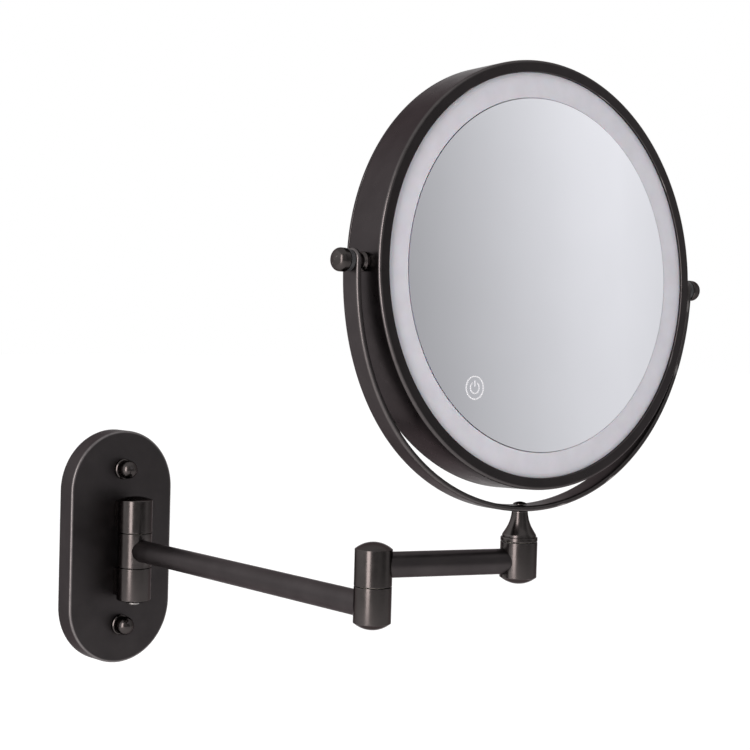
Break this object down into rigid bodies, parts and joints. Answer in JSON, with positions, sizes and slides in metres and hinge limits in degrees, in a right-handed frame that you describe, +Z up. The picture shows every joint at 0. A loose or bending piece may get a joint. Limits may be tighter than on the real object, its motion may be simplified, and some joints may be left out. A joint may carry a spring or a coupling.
{
  "type": "extendable shaving mirror",
  "caption": "Wall-mounted shaving mirror with a lit round double-sided head in a yoke, on a two-part folding arm with three upright hinges, dark bronze finish.",
  "frame": {"origin": "centre of the wall plate's back face, on the wall", "axes": "+Z up, +Y into the wall, -Y out towards the user, +X to the user's right when facing the wall"},
  "size_m": [0.2467, 0.2936, 0.3377],
  "materials": {
    "gunmetal_plate": "satin dark bronze plating, slightly rough",
    "gunmetal_barrel": "smooth dark bronze plating, semi-gloss",
    "gunmetal_tube": "satin dark bronze plating",
    "gunmetal_rim": "satin dark bronze plating with polished edge",
    "plain_steel": "bright zinc-plated steel",
    "bush_brass": "turned",
    "washer_nylon": "natural nylon",
    "black_plastic": "moulded black",
    "white_plastic": "moulded white reflector",
    "opal_plastic": "opal light diffuser, unlit",
    "silvered_glass": "silvered float glass",
    "lamp_board_white": "white solder mask",
    "circuit_board_green": "green solder mask",
    "led_package": "yellow phosphor in a white package, lit when switched on",
    "cell_jacket": "plain printed jacket"
  },
  "bodies": {
    "wall_base": {"wall_plate": "gunmetal_plate", "backing_plate": "black_plastic", "wall_stud_upper": "plain_steel", "wall_stud_lower": "plain_steel", "fixing_collar_upper": "gunmetal_barrel", "fixing_collar_lower": "gunmetal_barrel", "cap_nut_upper": "gunmetal_barrel", "cap_nut_lower": "gunmetal_barrel", "knuckle_screw_upper": "plain_steel", "knuckle_screw_lower": "plain_steel", "hinge_knuckle_upper": "gunmetal_barrel", "hinge_knuckle_lower": "gunmetal_barrel", "wall_hinge_pin": "plain_steel"},
    "arm_1": {"arm_1_wall_knuckle": "gunmetal_barrel", "arm_1_wall_bush": "bush_brass", "hinge_washer_upper": "washer_nylon", "hinge_washer_lower": "washer_nylon", "arm_1_tube": "gunmetal_tube", "arm_1_elbow_knuckle": "gunmetal_barrel", "elbow_bush": "bush_brass", "elbow_washer": "washer_nylon"},
    "arm_2": {"arm_2_elbow_knuckle": "gunmetal_barrel", "elbow_pin": "plain_steel", "arm_2_tube": "gunmetal_tube", "arm_2_end_knuckle": "gunmetal_barrel", "swivel_bush": "bush_brass", "swivel_washer": "washer_nylon"},
    "yoke": {"swivel_neck": "gunmetal_barrel", "swivel_pin": "plain_steel", "yoke_screw": "gunmetal_barrel", "yoke_band": "gunmetal_tube", "pivot_washer_right": "black_plastic", "pivot_washer_left": "black_plastic"},
    "head": {"head_rim": "gunmetal_rim", "diffuser_ring": "opal_plastic", "front_mirror": "silvered_glass", "lamp_tray": "white_plastic", "lamp_board": "lamp_board_white", "lamp_1": "led_package", "lamp_2": "led_package", "lamp_3": "led_package", "lamp_4": "led_package", "lamp_5": "led_package", "lamp_6": "led_package", "touch_pad": "black_plastic", "driver_board": "circuit_board_green", "battery_holder": "black_plastic", "battery_1": "cell_jacket", "battery_2": "cell_jacket", "battery_3": "cell_jacket", "battery_contact_right": "plain_steel", "battery_contact_left": "plain_steel", "rear_mirror": "silvered_glass", "rear_bezel": "gunmetal_rim", "pivot_boss_right": "gunmetal_barrel", "pivot_boss_left": "gunmetal_barrel", "pivot_knob_right": "gunmetal_barrel", "pivot_knob_left": "gunmetal_barrel", "pivot_nut_right": "plain_steel", "pivot_nut_left": "plain_steel"}
  },
  "joints": [
    {"name": "wall_hinge", "type": "hinge", "parent": "wall_base", "child": "arm_1", "pos_m": [0, -0.0262, 0], "axis": [0, 0, 1], "range_deg": [-85, 91]},
    {"name": "elbow", "type": "hinge", "parent": "arm_1", "child": "arm_2", "pos_m": [-0.01151, -0.2459, 0], "axis": [0, 0, 1], "continuous": true},
    {"name": "head_swivel", "type": "hinge", "parent": "arm_2", "child": "yoke", "pos_m": [0.06131, -0.27385, 0.03], "axis": [0, 0, 1], "continuous": true},
    {"name": "head_tilt", "type": "hinge", "parent": "yoke", "child": "head", "pos_m": [0.06436, -0.27407, 0.16236], "axis": [0.9972, -0.0697, -0.0262], "continuous": true}
  ]
}
